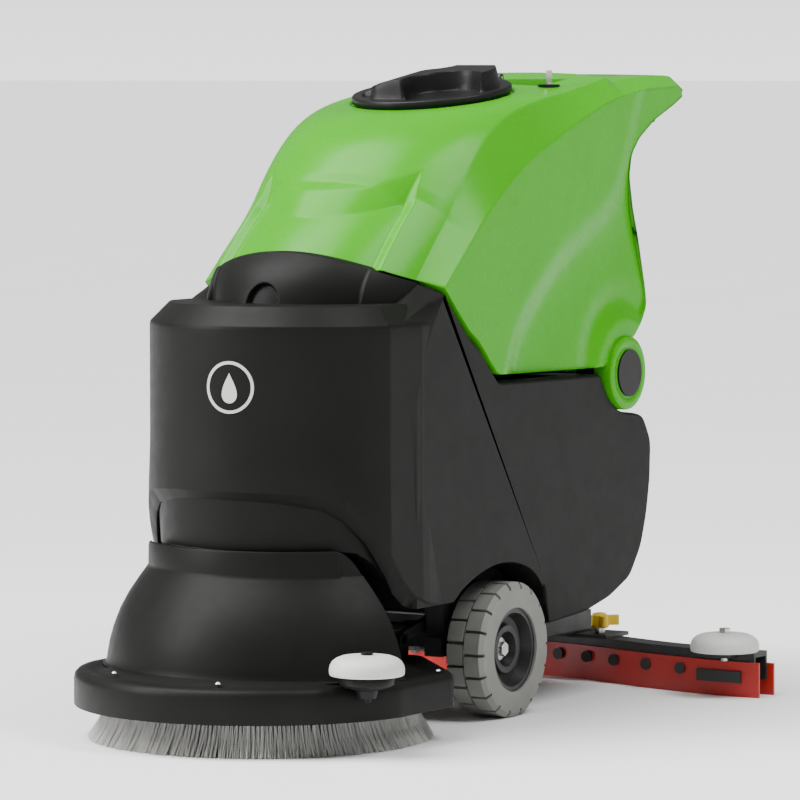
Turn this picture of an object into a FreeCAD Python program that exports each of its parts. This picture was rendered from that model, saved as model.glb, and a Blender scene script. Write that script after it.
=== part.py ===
"""Walk-behind wet and dry floor scrubber: two tanks, disc brush deck, two drive wheels, curved squeegee.

Millimetres. The front of the machine faces -Y, the operator stands at +Y, +Z is up and z = 0 is the floor.
The origin is on the floor under the centre of the machine's outline.
"""
import FreeCAD, Part
import math
import os

V = FreeCAD.Vector
X_AXIS = V(1, 0, 0)
Z_AXIS = V(0, 0, 1)

# ---- driving dimensions ----
HALF_WIDTH = 212.0            # flat sides of both tanks
TOP_HALF_WIDTH = 177.0        # inner edge of the recovery tank's side chamfer
BULGE_RADIUS = 205.0          # how round the tank's top and neck are in plan
PARTING_RISE = 46.0           # how far the tank's lower front edge arches up in the middle
PARTING_Z = 668.0
POCKET_Y = -98.0              # rear wall of the space that takes the neck
WHEEL_Y = 32.0                # drive axle
WHEEL_RADIUS = 102.7
TYRE_WIDTH = 65.0
TYRE_OUTER_X = 217.5
RIM_RADIUS = 64.0
AXLE_RADIUS = 12.0
RUNNING_GAP = 0.05            # radial clearance of every shaft in its bore
TANK_PIVOT = (381.0, 504.0)   # y, z of the recovery tank's hinge
PIVOT_BOSS_RADIUS = 58.0
LEVER_PIVOT = (486.0, 889.0)
PIN_RADIUS = 6.0              # arms, squeegee, pedal and rollers
ROLLER_PLACE = (262.0, -465.0)
SQUEEGEE_ROLLER_PLACE = (370.0, 420.0)
KEY_PLACE = (127.0, 288.0)
ROCKER_OUTLINE = [(318, 932), (344, 937), (344, 949), (331, 943.5),
                  (318, 944)]  # y, z of both rocker switches
KEY_BEZEL_RADIUS = 17.0
HOSE_RADIUS = 18.5
HOSE_Y = 536.0
HOSE_TOP = 330.0
SHAFT_RADIUS = 10.0
BRUSH_Y = -340.0
BRUSH_RADIUS = 255.0
DRIVE_SHAFT_RADIUS = 12.0
DECK_RADIUS = 274.0
DECK_HALF_WIDTH = 270.0
DECK_BOTTOM = 50.0
DECK_TOP = 104.0
SHROUD_Y = -248.0             # centre of the round front of the solution tank
SHROUD_BOTTOM = 352.0
SHROUD_TOP = 636.0
HOOD_Y = -250.0
HOOD_REAR_Y = -355.0
ARM_PIVOT = (0.0, 150.0)      # y, z of the deck arms on the frame
DECK_PIVOT = (-115.0, 125.0)  # y, z of the deck arms on the deck
SQUEEGEE_PIVOT = (262.0, 118.0)
SQUEEGEE_TOP = 70.0
PEDAL_PIVOT = (385.0, 111.0)
CASTER_Y = 350.0
CASTER_TRAIL = 24.0
CASTER_RADIUS = 38.0
KNOB_X = 100.0
KNOB_Y = 504.0
BLADE_HEIGHT = 50.0
LID_Y = 148.0
LID_Z = 934.0
LID_TILT = 9.0
LID_RADIUS = 124.0
ROLLER_RADIUS = 54.0
SQUEEGEE_LINE = [(0, 532), (85, 518), (170, 489), (306, 456), (429, 450)]  # x, y of the blades' middle line

nodes = {}


# ---- helpers ----
def box(x0, x1, y0, y1, z0, z1):
    return Part.makeBox(x1 - x0, y1 - y0, z1 - z0, V(x0, y0, z0))


def rod_x(y, z, radius, x0, x1):
    return Part.makeCylinder(radius, x1 - x0, V(x0, y, z), X_AXIS)


def rod_z(x, y, radius, z0, z1):
    return Part.makeCylinder(radius, z1 - z0, V(x, y, z0), Z_AXIS)


def tube_z(x, y, outer, inner, z0, z1):
    return rod_z(x, y, outer, z0, z1).cut(rod_z(x, y, inner, z0 - 1, z1 + 1))


def both_sides(shape):
    return [shape, shape.mirror(V(0, 0, 0), X_AXIS)]


def fuse(shapes):
    return shapes[0].multiFuse(shapes[1:]).removeSplitter()


def chain(runs):
    """A closed wire from runs of points; a run marked curve is one spline, any other is straight lines."""
    edges = []
    for kind, points in runs:
        if kind == "curve":
            curve = Part.BSplineCurve()
            curve.interpolate(points)
            edges.append(curve.toShape())
        else:
            for a, b in zip(points[:-1], points[1:]):
                edges.append(Part.LineSegment(a, b).toShape())
    return Part.Wire(edges)


def side_wire(x, runs):
    return chain([(kind, [V(x, y, z) for y, z in points]) for kind, points in runs])


def side_solid(x0, x1, runs):
    return Part.Face(side_wire(x0, runs)).extrude(V(x1 - x0, 0, 0))


def closed(points):
    return [("line", list(points) + [points[0]])]


def plan_solid(points, z0, z1):
    wire = Part.makePolygon([V(x, y, z0) for x, y in points + points[:1]])
    return Part.Face(wire).extrude(V(0, 0, z1 - z0))


def turned(profile, x, y):
    """A solid of revolution about a vertical axis at x, y from (radius, z) points."""
    wire = Part.makePolygon([V(r, 0, z) for r, z in profile + profile[:1]])
    solid = Part.Face(wire).revolve(V(0, 0, 0), Z_AXIS, 360)
    solid.translate(V(x, y, 0))
    return solid


def turned_x(profile, y, z):
    """A solid of revolution about a cross axis at y, z from (x, radius) points."""
    wire = Part.makePolygon([V(x, 0, r) for x, r in profile + profile[:1]])
    solid = Part.Face(wire).revolve(V(0, 0, 0), X_AXIS, 360)
    solid.translate(V(0, y, z))
    return solid


def hexagon(x, y, across_flats, z0, z1):
    radius = across_flats / math.sqrt(3)
    corners = [math.radians(60 * k) for k in range(6)]
    return plan_solid([(x + radius * math.cos(a), y + radius * math.sin(a)) for a in corners], z0, z1)


def pan_screw(x, y, z):
    head = Part.makeSphere(5.0, V(x, y, z - 2.0), Z_AXIS, 0, 90, 360).common(rod_z(x, y, 4.8, z, z + 4))
    return head.cut(box(x - 3.5, x + 3.5, y - 0.5, y + 0.5, z + 1.8, z + 4))


def round_front(radius, y_centre, y_rear, z0, z1):
    """A D in plan: half disc towards -Y, straight sides back to y_rear."""
    disc = rod_z(0, y_centre, radius, z0, z1)
    tail = box(-radius, radius, y_centre, y_rear, z0, z1)
    return disc.cut(box(-radius, radius, y_centre, y_centre + radius + 1, z0, z1)).fuse(tail)


def hose(points, radius, bend, bore):
    """A pipe along straight runs joined by tangent arcs."""
    edges = []
    start = points[0]
    for before, corner, after in zip(points[:-2], points[1:-1], points[2:]):
        back = (before - corner).normalize()
        on = (after - corner).normalize()
        half = back.getAngle(on) / 2
        reach = bend / math.tan(half)
        enter = corner + back * reach
        leave = corner + on * reach
        middle = corner + (back + on).normalize() * (bend / math.sin(half) - bend)
        edges.append(Part.LineSegment(start, enter).toShape())
        edges.append(Part.Arc(enter, middle, leave).toShape())
        start = leave
    edges.append(Part.LineSegment(start, points[-1]).toShape())
    path = Part.Wire(edges)
    along = (points[1] - points[0]).normalize()
    outer = path.makePipeShell([Part.Wire(Part.makeCircle(radius, points[0], along))], True, True)
    inner = path.makePipeShell([Part.Wire(Part.makeCircle(bore, points[0], along))], True, True)
    return outer.cut(inner)


def bulge(x):
    """Share of the way from the edge profile to the middle one at a distance x from the middle."""
    edge = math.sqrt(BULGE_RADIUS ** 2 - TOP_HALF_WIDTH ** 2)
    return (math.sqrt(BULGE_RADIUS ** 2 - x ** 2) - edge) / (BULGE_RADIUS - edge)


def bulged(edge, middle, reach, section):
    """A smooth loft whose front and top are round in plan between an edge profile and a middle one."""
    wires = []
    for share in (1, 0.9, 0.75, 0.5, 0.25, 0, -0.25, -0.5, -0.75, -0.9, -1):
        x = reach * share
        t = bulge(x * TOP_HALF_WIDTH / reach)
        wires.append(section(x, [(a[0] + (b[0] - a[0]) * t, a[1] + (b[1] - a[1]) * t) for a,
                                 b in zip(edge, middle)]))
    return Part.makeLoft(wires, True, False)


def parting_solid(lift, y_rear):
    """Everything under the arched parting line at the front, between the tank's side walls."""
    shares = [k / 8 for k in range(-8, 9)]
    arch = [(174 * k, PARTING_Z + lift + PARTING_RISE * (1 - k * k)) for k in shares]
    outline = arch + [(174, 540), (-174, 540)]
    wire = Part.makePolygon([V(x, -420, z) for x, z in outline + outline[:1]])
    return Part.Face(wire).extrude(V(0, y_rear + 420, 0))


# ---- recovery tank: upper shell, hinged at the rear ----
def recovery_tank():
    outer = [(-162, 661), (-41, 762), (60, 829), (192, 883), (340, 930), (480, 949), (573, 953)]
    edge = [(-189, 668), (-70, 782), (66, 865), (217, 921), (328, 948), (480, 967), (601, 971)]
    middle = [(-334, 668), (-200, 782), (-20, 884), (190, 930), (320, 952), (480, 970), (614, 971)]
    rear = [(540, 921), (479, 899), (425, 868), (400, 790), (412, 740), (455, 608)]
    base = [(455, 608), (418, 560), (320, 516), (-9, 521), (-65, 574), (-98, 593), (-167, 657)]

    def section(x, top, tip_z):
        tip_y = top[-1][0]
        return side_wire(x, [("curve", top), ("line", [top[-1], (tip_y, tip_z)]),
                             ("curve", [(tip_y, tip_z)] + rear), ("line", base + [top[0]])])

    shell = bulged(edge, middle, TOP_HALF_WIDTH, lambda x, top: section(x, top, 943))
    for flank in both_sides(Part.makeLoft([section(HALF_WIDTH, outer, 934),
                                           section(TOP_HALF_WIDTH, edge, 943)],
                                          True, True)):
        shell = shell.fuse(flank)
    lid_seat = Part.makeCone(152, LID_RADIUS + 3, 70, V(0, LID_Y, LID_Z - 74), Z_AXIS)
    lid_seat.rotate(V(0, LID_Y, LID_Z), X_AXIS, LID_TILT)
    shell = shell.fuse(lid_seat)
    for boss in both_sides(rod_x(*TANK_PIVOT, PIVOT_BOSS_RADIUS, 186, 219)):
        shell = shell.fuse(boss)

    room_floor = [(400, 860), (386, 790), (398, 735), (438, 612), (395, 572), (305, 530), (0, 536),
                  (-78, 600)]
    room = bulged([(-172, 668), (-58, 772), (74, 852), (217, 899), (335, 910)],
                  [(-316, 668), (-186, 774), (-10, 872), (190, 905), (335, 910)], 166,
                  lambda x, top: side_wire(x, [("curve", top), ("line", [top[-1]] + room_floor + [top[0]])]))
    wide_room = closed([(-75, 600), (0, 540), (305, 534), (390, 574), (430, 612), (392, 735), (382, 790),
                        (384, 850), (340, 895), (217, 862), (66, 803), (-30, 745), (-75, 712)])
    shell = shell.cut(room.cut(parting_solid(8, POCKET_Y + 8))).cut(side_solid(-202, 202, wide_room))
    shell = shell.cut(parting_solid(0, POCKET_Y))
    handle_slot = box(-125, 125, 502, 562, 840, 1000)
    mouth = rod_z(0, LID_Y, 98, LID_Z - 130, LID_Z + 20)
    mouth.rotate(V(0, LID_Y, LID_Z), X_AXIS, LID_TILT)
    shell = shell.cut(handle_slot).cut(mouth)
    for bore in both_sides(rod_x(*TANK_PIVOT, SHAFT_RADIUS + RUNNING_GAP, 180, 206)):
        shell = shell.cut(bore)
    drain_bore = Part.makeCylinder(16, 120, V(-120, 360, 640), V(0, 1, 0))
    shell = shell.cut(drain_bore)
    clip = tube_z(-120, 500, 19, 16, 745, 765).fuse(box(-124, -116, 402, 482, 745, 765))
    brackets = both_sides(box(162, 172, 474, 500, 880, 925))
    return fuse([shell, clip] + brackets).cut(rod_x(*LEVER_PIVOT, 4, -172, 172))


nodes["recovery_tank"] = recovery_tank()
nodes["pivot_caps"] = Part.makeCompound(both_sides(rod_x(*TANK_PIVOT, 37, 219, 222)))
nodes["control_panel"] = side_solid(-110, 110, closed([(292, 921), (375, 937), (375, 946), (292, 930)]))
nodes["recovery_tank"] = nodes["recovery_tank"].cut(
    side_solid(-110, 110, closed([(292, 921), (375, 937), (375, 1000), (292, 1000)])))


# ---- lid, its hinge and its seal ----
def tilted(shape):
    shape.rotate(V(0, LID_Y, LID_Z), X_AXIS, LID_TILT)
    return shape


def tank_lid():
    dome = turned([(0, 8), (98, 8), (98, 2), (LID_RADIUS, 2), (LID_RADIUS, 14), (116, 20), (84, 24),
                   (70, 36), (40, 41), (0, 42)], 0, 0)
    hollow = turned([(0, 7), (92, 7), (92, 12), (80, 18), (64, 31), (38, 36), (0, 37)], 0, 0)
    scoop = Part.makeSphere(46, V(52, 30, 66))
    lid = dome.cut(hollow).cut(scoop)
    knuckles = [rod_x(LID_RADIUS + 9, 10, 7, 14, 38), rod_x(LID_RADIUS + 9, 10, 7, -38, -14)]
    arms = [box(14, 38, 100, LID_RADIUS + 9, 4, 13), box(-38, -14, 100, LID_RADIUS + 9, 4, 13)]
    lid = fuse([lid] + knuckles + arms)
    lid = lid.cut(rod_x(LID_RADIUS + 9, 10, 3 + RUNNING_GAP, -50, 50))
    lid.translate(V(0, LID_Y, LID_Z))
    return tilted(lid)


def lid_seal():
    ring = tube_z(0, LID_Y, 112, 104, LID_Z - 3.5, LID_Z + 1.5)
    return tilted(ring)


def lid_hinge():
    y = LID_Y + LID_RADIUS + 9
    z = LID_Z + 10
    pin = rod_x(y, z, 3, -50, 50)
    ears = []
    for x0, x1 in ((-13.5, 13.5), (38.5, 48), (-48, -38.5)):
        ear = rod_x(y, z, 7, x0, x1).fuse(box(x0, x1, y - 7, y + 7, z - 26, z))
        ears.append(ear.cut(rod_x(y, z, 3, x0 - 1, x1 + 1)))
    return tilted(pin), tilted(fuse(ears + [box(-48, 48, y - 7, y + 7, z - 26, z - 13)]))


nodes["tank_lid"] = tank_lid()
nodes["lid_seal"] = lid_seal()
nodes["lid_hinge_pin"], nodes["lid_hinge_bracket"] = lid_hinge()
nodes["recovery_tank"] = nodes["recovery_tank"].cut(nodes["lid_hinge_bracket"])


# ---- controls ----
def key_and_switch():
    x, y = KEY_PLACE
    bezel = tube_z(x, y, KEY_BEZEL_RADIUS, 6, 925, 955)
    plug = rod_z(x, y, 6 - RUNNING_GAP, 940, 958)
    bow = box(x - 1.1, x + 1.1, y - 8, y + 8, 958, 977)
    return bezel, plug.fuse(bow)


nodes["key_switch"], nodes["key"] = key_and_switch()
nodes["recovery_tank"] = nodes["recovery_tank"].cut(rod_z(*KEY_PLACE, KEY_BEZEL_RADIUS, 925, 1000))


for name, x in (("brush_switch", -55), ("vacuum_switch", -20)):
    nodes[name] = side_solid(x - 11, x + 11, closed(ROCKER_OUTLINE))
    slot = side_solid(x - 11.5, x + 11.5, closed([(317.5, 929), (344.5, 929), (344.5, 980), (317.5, 980)]))
    nodes["control_panel"] = nodes["control_panel"].cut(slot)
    nodes["recovery_tank"] = nodes["recovery_tank"].cut(slot)
nodes["charge_gauge"] = side_solid(25, 75, closed([(318, 935.2), (344, 940.2), (344, 942.4), (318, 937.4)]))
nodes["control_panel"] = nodes["control_panel"].cut(nodes["charge_gauge"])


def drive_lever():
    cross = rod_x(566, 903, 9, -160, 160)
    arms = both_sides(side_solid(148, 160, closed([(480, 881), (492, 881), (572, 895), (572, 910),
                                                   (482, 896)])))
    lever = fuse([cross] + arms)
    return lever.cut(rod_x(*LEVER_PIVOT, 4 + RUNNING_GAP, -170, 170))


nodes["drive_lever"] = drive_lever()
nodes["lever_pins"] = Part.makeCompound(both_sides(rod_x(*LEVER_PIVOT, 4, 146, 172)))


# ---- drain hose and float ----
def drain():
    run = hose([V(-120, 376, 640), V(-120, 500, 640), V(-120, 500, 800)], 16, 34, 13)
    return run, rod_z(-120, 500, 19, 800, 822)


nodes["drain_hose"], nodes["drain_cap"] = drain()


def float_parts():
    """Ball float in a cage that hangs from a suction stub inside the tank."""
    y = LID_Y + 120
    cage = fuse([tube_z(0, y, 30, 27, 700, 790), rod_z(0, y, 30, 790, 796), tube_z(0, y, 12, 9, 796, 850),
                 box(-5, 5, y + 10, 378, 835, 845), tube_z(0, y, 30, 20, 697, 700)])
    cage = cage.cut(nodes["recovery_tank"]).cut(rod_z(0, y, 9, 780, 860))
    return cage, Part.makeSphere(24, V(0, y, 724))


nodes["float_cage"], nodes["float_ball"] = float_parts()


# ---- solution tank: lower shell with the battery bay ----
def lower_sweep():
    """The swept lower edge of the shroud's sides, as a solid to take away below it."""
    edge = [(-480, 352), (-418, 347), (-370, 316), (-335, 272), (-305, 228), (-265, 200), (-210, 190)]
    return side_solid(-300, 300, [("curve", edge), ("line", [edge[-1], (-210, 100), (-480, 100), edge[0]])])


def front_shroud():
    outer = round_front(HALF_WIDTH, SHROUD_Y, SHROUD_Y + 1, 180, SHROUD_TOP)
    outer = outer.cut(box(-300, 300, SHROUD_Y, SHROUD_Y + 10, 0, 700))
    rim = [e for e in outer.Edges if e.BoundBox.ZMin > SHROUD_TOP - 1 and e.BoundBox.YMin < SHROUD_Y - 50
           and e.BoundBox.YLength > 50]
    outer = outer.makeChamfer(28, rim)
    outer = outer.cut(lower_sweep())
    inner = round_front(200, SHROUD_Y, SHROUD_Y + 1, 283, SHROUD_BOTTOM + 40)
    inner = inner.cut(box(-300, 300, SHROUD_Y, SHROUD_Y + 10, 0, 700))
    outer = outer.fuse(inner.cut(lower_sweep().translated(V(0, 25, -12))))
    hollow = round_front(192, SHROUD_Y, SHROUD_Y + 20, 150, 425)
    water = round_front(202, SHROUD_Y, SHROUD_Y + 20, 433, 600)
    return outer.cut(hollow).cut(water).removeSplitter()


def neck_solids():
    """The neck that rises behind the shroud into the recovery tank's pocket, and the space inside it."""
    def block(edge, middle, reach, y_rear):
        return bulged(edge, middle, reach, lambda x, front: side_wire(x, [
            ("curve", front), ("line", [front[-1], (y_rear, 720), (y_rear, 600), front[0]])]))

    neck = block([(-204, 600), (-202, 636), (-189, 668), (-134, 720)],
                 [(-360, 600), (-350, 636), (-334, 668), (-276, 720)], 170, -106)
    neck = neck.common(parting_solid(-3, -100))
    neck = neck.cut(box(-300, 300, -500, SHROUD_Y, 500, SHROUD_TOP))
    room = block([(-184, 600), (-182, 636), (-170, 668), (-120, 720)],
                 [(-330, 600), (-322, 636), (-308, 668), (-262, 720)], 160, -114)
    room = room.common(parting_solid(-12, -100)).cut(box(-300, 300, -500, SHROUD_Y, 500, SHROUD_TOP + 8))
    return neck, room


def solution_tank():
    side = closed([(-248, 190), (141, 190), (141, 130), (260, 138), (336, 156), (401, 179), (437, 228),
                   (466, 329), (469, 393), (445, 423), (425, 438), (367, 443), (330, 465), (302, 507),
                   (-9, 510), (-35, 534), (-65, 563), (-98, 582), (-167, 646), (-200, 636), (-248, 636)])
    shell = side_solid(-213, 213, side)
    neck, neck_room = neck_solids()
    shell = shell.fuse(neck)
    arch = [("curve", [(-150, 186), (-84, 219), (25, 236), (100, 214), (142, 129)]),
            ("line", [(142, 129), (142, 60), (-150, 60), (-150, 186)])]
    for cut in both_sides(side_solid(146, 230, arch)):
        shell = shell.cut(cut)
    battery_bay = box(-203, 203, -95, 238, 245, 650)
    motor_bay = box(-203, 203, 246, 376, 245, 560)
    deck_room = box(-204, 204, -250, -112, 150, 425)
    water_room = box(-202, 202, -250, -103, 433, 600)
    thumb_arch = Part.makeCylinder(28, 40, V(0, -377, SHROUD_TOP), V(0, 1, 0))
    rear_room = box(-203, 203, 384, 425, 246, 425)
    under_rooms = [box(-105, 105, 150, 375, 100, 237)] + both_sides(box(150, 203, 150, 370, 100, 237))
    suction_bore = Part.makeCylinder(HOSE_RADIUS, 80, V(0, 400, HOSE_TOP), V(0, 1, 0))
    for room in [battery_bay, motor_bay, deck_room, water_room, neck_room, rear_room, suction_bore,
                 thumb_arch] + under_rooms:
        shell = shell.cut(room)
    shell = shell.cut(lower_sweep())
    for clear in both_sides(rod_x(*TANK_PIVOT, PIVOT_BOSS_RADIUS + 2, 184, 230)):
        shell = shell.cut(clear)
    ear = side_solid(140, 168, closed([(340, 430), (422, 430), (404, 516), (381, 526), (358, 516)]))
    for part in both_sides(ear):
        shell = shell.fuse(part)
    return shell.cut(rod_x(*TANK_PIVOT, SHAFT_RADIUS, -230, 230)).removeSplitter()


nodes["solution_tank"] = solution_tank()
nodes["front_shroud"] = front_shroud()
nodes["tank_hinge_shaft"] = rod_x(*TANK_PIVOT, SHAFT_RADIUS, -205, 205)


def battery(x):
    case = box(x - 84, x + 84, -93, 232, 245, 462)
    posts = [rod_z(x + side, -60, 8, 462, 480) for side in (-46, 46)]
    return fuse([case] + posts)


nodes["batteries"] = Part.makeCompound([battery(-86), battery(86)])
nodes["vacuum_motor"] = fuse([rod_z(0, 312, radius, z0, z1) for radius, z0, z1 in (
    (58, 250, 330), (46, 330, 400), (28, 400, 425))])


# ---- chassis: rails, axle, wheels, caster ----
def chassis_frame():
    pieces = []
    for rail in both_sides(box(112, 142, -60, 400, 96, 126)):
        pieces.append(rail)
    for post in both_sides(box(112, 142, -55, -25, 126, 190)) + both_sides(box(112, 142, 95, 125, 126, 190)):
        pieces.append(post)
    for pad in both_sides(box(112, 142, 150, 250, 126, 129)):
        pieces.append(pad)
    pieces.append(box(-112, 112, -20, 15, 104, 126))
    pieces.append(box(-112, 112, 250, 275, 96, 106))
    pieces.append(box(-142, 142, 330, 370, 126, 134))
    y, z = ARM_PIVOT
    for x0, x1 in ((84, 91.5), (102.5, 110)):
        pieces.extend(both_sides(box(x0, x1, y - 14, y + 14, 126, z + 14)))
    y, z = SQUEEGEE_PIVOT
    for x0, x1 in ((44, 53.5), (68.5, 78)):
        pieces.extend(both_sides(box(x0, x1, y - 12, y + 12, 106, z + 12)))
    frame = fuse(pieces)
    frame = frame.cut(rod_x(WHEEL_Y, WHEEL_RADIUS, AXLE_RADIUS, -200, 200))
    frame = frame.cut(rod_x(*ARM_PIVOT, PIN_RADIUS, -112, 112)).cut(rod_x(*SQUEEGEE_PIVOT, PIN_RADIUS, -112,
                                                                          112))
    frame = frame.cut(nodes["solution_tank"])
    return frame.cut(rod_x(*PEDAL_PIVOT, PIN_RADIUS, -160, -100))


nodes["chassis_frame"] = chassis_frame()
nodes["axle"] = rod_x(WHEEL_Y, WHEEL_RADIUS, AXLE_RADIUS, -188, 188)
nodes["frame_pins"] = Part.makeCompound(
    both_sides(rod_x(*ARM_PIVOT, PIN_RADIUS, 84, 110)) + both_sides(rod_x(*SQUEEGEE_PIVOT, PIN_RADIUS, 44,
                                                                          78))
    + [rod_x(*PEDAL_PIVOT, PIN_RADIUS, -160, -112)])


def rim():
    profile = [(153, RIM_RADIUS), (TYRE_OUTER_X - 4, RIM_RADIUS), (TYRE_OUTER_X - 4, 56), (196, 50),
               (192, 40),
               (202, 36), (202, 27), (187, 22), (187, AXLE_RADIUS + RUNNING_GAP),
               (155, AXLE_RADIUS + RUNNING_GAP), (155, 26), (178, 32), (178, 52), (153, 57)]
    return turned_x(profile, WHEEL_Y, WHEEL_RADIUS)


def tyre():
    x0 = TYRE_OUTER_X - TYRE_WIDTH
    x1 = TYRE_OUTER_X
    mid = (x0 + x1) / 2
    body = turned_x([(x0, RIM_RADIUS), (x1, RIM_RADIUS), (x1, 96), (x1 - 5, WHEEL_RADIUS),
                     (x0 + 5, WHEEL_RADIUS), (x0, 96)], WHEEL_Y, WHEEL_RADIUS)
    lugs = 18
    middle_groove = [(mid - 1.5, 94), (mid + 1.5, 94), (mid + 1.5, 110), (mid - 1.5, 110)]
    cuts = [turned_x(middle_groove, WHEEL_Y, WHEEL_RADIUS)]
    for row, (a, b) in enumerate(((x0 - 1, mid), (mid, x1 + 1))):
        for k in range(lugs):
            groove = box(a, b, -2.4, 2.4, 92, 115)
            groove.rotate(V(0, 0, 0), X_AXIS, 360.0 * (k + 0.5 * row) / lugs)
            groove.translate(V(0, WHEEL_Y, WHEEL_RADIUS))
            cuts.append(groove)
    return body.cut(Part.makeCompound(cuts))


def axle_bolt():
    washer = rod_x(WHEEL_Y, WHEEL_RADIUS, 17, 188, 190.5)
    head = hexagon(0, 0, 19, 190.5, 199)
    head.rotate(V(0, 0, 0), V(0, 1, 0), 90)
    head.translate(V(0, WHEEL_Y, WHEEL_RADIUS))
    return washer.fuse(head)


for side, shapes in (("right", (rim(), tyre())), ("left", [both_sides(s)[1] for s in (rim(), tyre())])):
    nodes["rim_" + side], nodes["tyre_" + side] = shapes
nodes["axle_bolts"] = Part.makeCompound(both_sides(axle_bolt()))

def caster():
    plate = box(-40, 40, 322, 378, 115, 126)
    stem = rod_z(0, CASTER_Y, 7, 90, 115)
    fork_top = rod_z(0, CASTER_Y, 20, 92, 106).fuse(box(-20, 20, CASTER_Y - 12, CASTER_Y + 20, 86, 96))
    ears = [side_solid(a, b, closed([(338, 86), (372, 86), (384, 34), (368, 28), (350, 50)]))
            for a, b in ((-20, -16), (16, 20))]
    fork = fuse([fork_top] + ears).cut(rod_z(0, CASTER_Y, 7 + RUNNING_GAP, 70, 120))
    y = CASTER_Y + CASTER_TRAIL
    pin = rod_x(y, CASTER_RADIUS, 4, -20, 20)
    fork = fork.cut(pin)
    wheel = turned_x([(-13, 4 + RUNNING_GAP), (13, 4 + RUNNING_GAP), (13, 34), (8, CASTER_RADIUS),
                      (-8, CASTER_RADIUS), (-13, 34)], y, CASTER_RADIUS)
    return plate.fuse(stem), fork, wheel, pin


caster_mount, nodes["caster_fork"], nodes["caster_wheel"], nodes["caster_pin"] = caster()
nodes["chassis_frame"] = nodes["chassis_frame"].fuse(caster_mount).removeSplitter()


# ---- brush deck ----
def deck_outline(inset):
    """Round front, straight sides and drawn-in rear corners."""
    r = DECK_RADIUS - inset
    w = DECK_HALF_WIDTH - inset
    y_side = BRUSH_Y - math.sqrt(max(r * r - w * w, 0.0))
    front = Part.Arc(V(-w, y_side, 0), V(0, BRUSH_Y - r, 0), V(w, y_side, 0)).toShape()
    rear = [V(w, y_side, 0), V(w, -234 - 0.4 * inset, 0), V(125 - 0.4 * inset, -80 - inset, 0)]
    rear = rear + [V(-v.x, v.y, 0) for v in reversed(rear)]
    return Part.Wire([front] + [Part.LineSegment(a, b).toShape() for a, b in zip(rear[:-1], rear[1:])])


def deck_prism(inset, z0, z1):
    solid = Part.Face(deck_outline(inset)).extrude(V(0, 0, z1 - z0))
    solid.translate(V(0, 0, z0))
    return solid


def deck_housing():
    shell = deck_prism(0, DECK_BOTTOM, DECK_TOP).cut(deck_prism(5, DECK_BOTTOM - 1, DECK_TOP - 6))
    shell = shell.cut(rod_z(0, BRUSH_Y, 60, 80, 120))
    y, z = DECK_PIVOT
    for x0, x1 in ((84, 91.5), (102.5, 110)):
        for lug in both_sides(box(x0, x1, y - 13, y + 13, DECK_TOP - 2, z + 12)):
            shell = shell.fuse(lug)
    seat = rod_z(*ROLLER_PLACE, 36, DECK_TOP - 30, 118).cut(deck_prism(5, 0, 98))
    shell = shell.fuse(seat).cut(rod_z(*ROLLER_PLACE, PIN_RADIUS, 60, 130))
    return shell.cut(rod_x(y, z, PIN_RADIUS, -112, 112)).removeSplitter()


def deck_hood():
    outer = [(277, DECK_TOP), (276, 118), (267, 150), (249, 200), (215, 247), (215, 284)]
    inner = [(210, 284), (210, 245), (244, 196), (262, 147), (271, 116), (272, DECK_TOP)]
    hood = turned(outer + inner, 0, HOOD_Y)
    hood = hood.common(box(-300, 300, -600, HOOD_REAR_Y, 0, 300))
    hood = hood.cut(side_solid(-300, 300, closed([(-400, 290), (-380, 272), (-350, 240), (-350, 290)])))
    return hood.common(deck_prism(2, 90, 300))


nodes["deck_housing"] = deck_housing()
nodes["deck_hood"] = deck_hood()
nodes["deck_pins"] = Part.makeCompound(both_sides(rod_x(*DECK_PIVOT, PIN_RADIUS, 84, 110)))
screw_places = [(-128, -531), (70, -558), (258, -262), (-258, -262)]
motor_bolts = [hexagon(70 * math.cos(a), BRUSH_Y + 70 * math.sin(a), 10, 112, 119)
               for a in (math.radians(45 + 90 * k) for k in range(4))]
nodes["deck_screws"] = Part.makeCompound([pan_screw(x, y, DECK_TOP) for x, y in screw_places] + motor_bolts)


def deck_arms():
    (y0, z0), (y1, z1) = ARM_PIVOT, DECK_PIVOT
    length = math.hypot(y1 - y0, z1 - z0)
    bar = fuse([rod_x(0, 0, 10, 92, 102), rod_x(-length, 0, 10, 92, 102), box(92, 102, -length, 0, -8, 8)])
    bars = both_sides(bar)
    tie = rod_x(-length / 2, 0, 7, -92, 92)
    arms = fuse(bars + [tie])
    for y in (0, -length):
        arms = arms.cut(rod_x(y, 0, PIN_RADIUS + RUNNING_GAP, -112, 112))
    arms.rotate(V(0, 0, 0), X_AXIS, math.degrees(math.atan2(z0 - z1, y0 - y1)))
    arms.translate(V(0, y0, z0))
    return arms


nodes["deck_arms"] = deck_arms()
nodes["brush_motor"] = fuse([rod_z(0, BRUSH_Y, radius, z0, z1) for radius, z0, z1 in (
    (DRIVE_SHAFT_RADIUS, 60, 92), (30, 92, DECK_TOP), (80, DECK_TOP, 112), (62, 112, 260), (50, 260, 275))])
nodes["brush_block"] = turned([(DRIVE_SHAFT_RADIUS + RUNNING_GAP, 52), (228, 52), (232, 60), (228, 68),
                               (40, 68),
                               (34, 88), (DRIVE_SHAFT_RADIUS + RUNNING_GAP, 88)], 0, BRUSH_Y)
nodes["bristles"] = turned([(120, 52), (226, 52), (236, 30), (BRUSH_RADIUS, 0), (110, 0)], 0, BRUSH_Y)


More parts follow.
